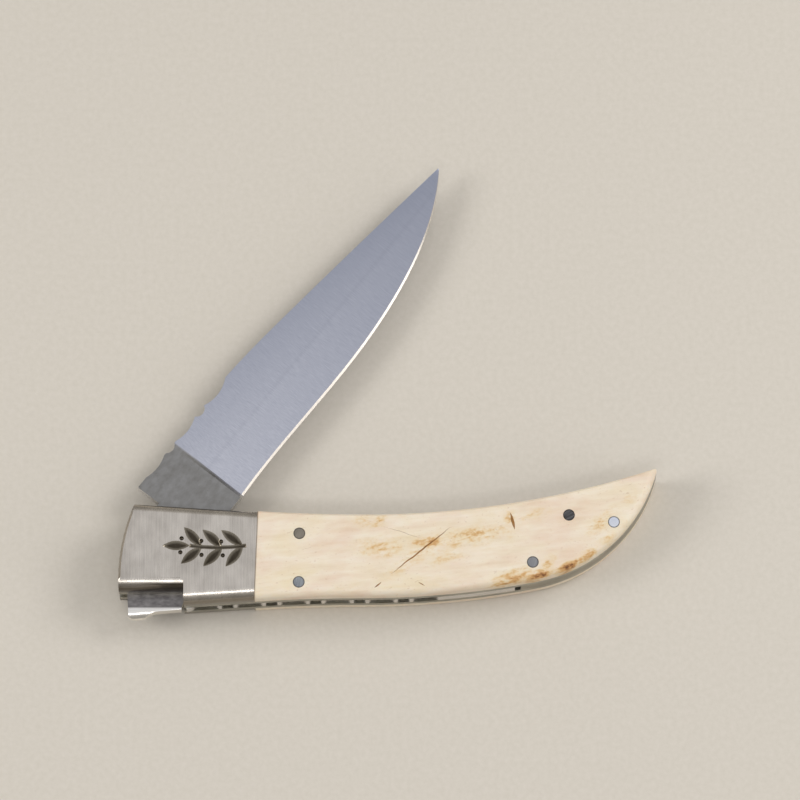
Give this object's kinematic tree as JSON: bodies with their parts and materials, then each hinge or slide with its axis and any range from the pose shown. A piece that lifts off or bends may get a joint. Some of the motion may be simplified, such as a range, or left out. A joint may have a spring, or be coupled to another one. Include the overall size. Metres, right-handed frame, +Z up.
{
  "type": "folding pocket knife",
  "caption": "Folding pocket knife with steel bolsters, bone scales, a file-worked rocking lock bar in the back and a broad pointed blade, shown half open.",
  "frame": {"origin": "on the blade pivot's axis, in the plane of the rear side's flat face on which the knife lies", "axes": "+X along the handle to its tail, +Y from the handle's back to its blade side, +Z up through the handle"},
  "size_m": [0.1199, 0.105, 0.0134],
  "materials": {
    "blade_steel": "satin, ground across, polished edge bevel",
    "bolster_steel": "brushed across the handle, polished at the back edge",
    "liner_steel": "satin",
    "lock_steel": "polished, with file-work",
    "spring_steel": "blued",
    "pin_steel": "ground flush",
    "bone": "polished bone with brown stains and fine cracks"
  },
  "bodies": {
    "handle": {"rear_liner": "liner_steel", "front_liner": "liner_steel", "rear_bolster": "bolster_steel", "front_bolster": "bolster_steel", "rear_scale": "bone", "front_scale": "bone", "rear_bolster_rivets": "pin_steel", "front_bolster_rivets": "pin_steel", "blade_pivot_pin": "pin_steel", "lock_spring": "spring_steel", "tail_spacer": "lock_steel", "lock_bar_pin": "pin_steel", "spacer_pin": "pin_steel", "tail_pin": "pin_steel", "rear_scale_fore_pin": "pin_steel", "front_scale_fore_pin": "pin_steel", "rear_scale_aft_pin": "pin_steel", "front_scale_aft_pin": "pin_steel"},
    "blade": {"blade": "blade_steel"},
    "lock_bar": {"lock_bar": "lock_steel"}
  },
  "joints": [
    {"name": "blade_swing", "type": "hinge", "parent": "handle", "child": "blade", "pos_m": [0, 0, 0.0067], "axis": [0, 0, 1], "range_deg": [-48.4, 131.5]},
    {"name": "lock_bar_rock", "type": "hinge", "parent": "handle", "child": "lock_bar", "pos_m": [0.0311, -0.00891, 0.0067], "axis": [0, 0, 1], "range_deg": [-0.9, 2.2], "stiffness_Nm_per_rad": 0.5, "deforming": ["lock_spring"]}
  ]
}
